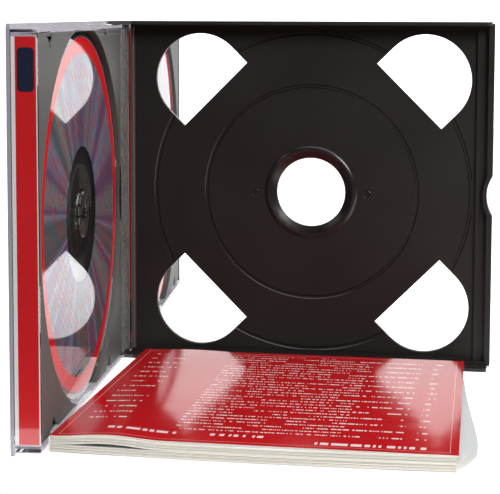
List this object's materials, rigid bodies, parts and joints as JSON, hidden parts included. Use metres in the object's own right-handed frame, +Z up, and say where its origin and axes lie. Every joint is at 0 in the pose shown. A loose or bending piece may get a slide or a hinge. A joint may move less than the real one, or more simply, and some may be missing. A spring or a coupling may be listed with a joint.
{
  "type": "cd box set",
  "caption": "Disc box standing open: black centre frame with windows, clear hinged leaves with discs on grey trays, and a red booklet lying in front.",
  "frame": {"origin": "on the table, under the axis that both discs share when the box is shut", "axes": "X from the hinge edge to the free edge of the centre frame, Y from the front leaf to the rear leaf, Z up"},
  "size_m": [0.156, 0.2887, 0.125],
  "materials": {
    "black_plastic": "fine-grained satin black",
    "clear_plastic": "clear polished polystyrene",
    "grey_plastic": "fine-grained matt grey",
    "disc_mirror": "mirror with a red printed ring",
    "red_card": "gloss coated red print",
    "page_paper": "cream cut edges",
    "staple_steel": "bright drawn wire"
  },
  "bodies": {
    "root": {"centre_frame": "black_plastic", "booklet_pages": "page_paper", "booklet_cover_bottom": "red_card", "booklet_staples": "staple_steel"},
    "front_leaf": {"front_case": "clear_plastic", "front_inlay_card": "red_card", "front_tray": "grey_plastic", "front_disc": "disc_mirror"},
    "rear_leaf": {"rear_case": "clear_plastic", "rear_inlay_card": "red_card", "rear_tray": "grey_plastic", "rear_disc": "disc_mirror"},
    "booklet_cover": {"booklet_cover_top": "red_card"}
  },
  "joints": [
    {"name": "front_leaf_hinge", "type": "hinge", "parent": "root", "child": "front_leaf", "pos_m": [-0.07164, -0.0068, 0], "axis": [0, 0, 1], "range_deg": [-93.68, 0]},
    {"name": "rear_leaf_hinge", "type": "hinge", "parent": "root", "child": "rear_leaf", "pos_m": [-0.07164, 0.0068, 0], "axis": [0, 0, 1], "range_deg": [-95.5, 84.5]},
    {"name": "booklet_cover_hinge", "type": "hinge", "parent": "root", "child": "booklet_cover", "pos_m": [-0.0587, -0.0768, 0.00475], "axis": [0, -1, 0], "range_deg": [0, 85]}
  ]
}
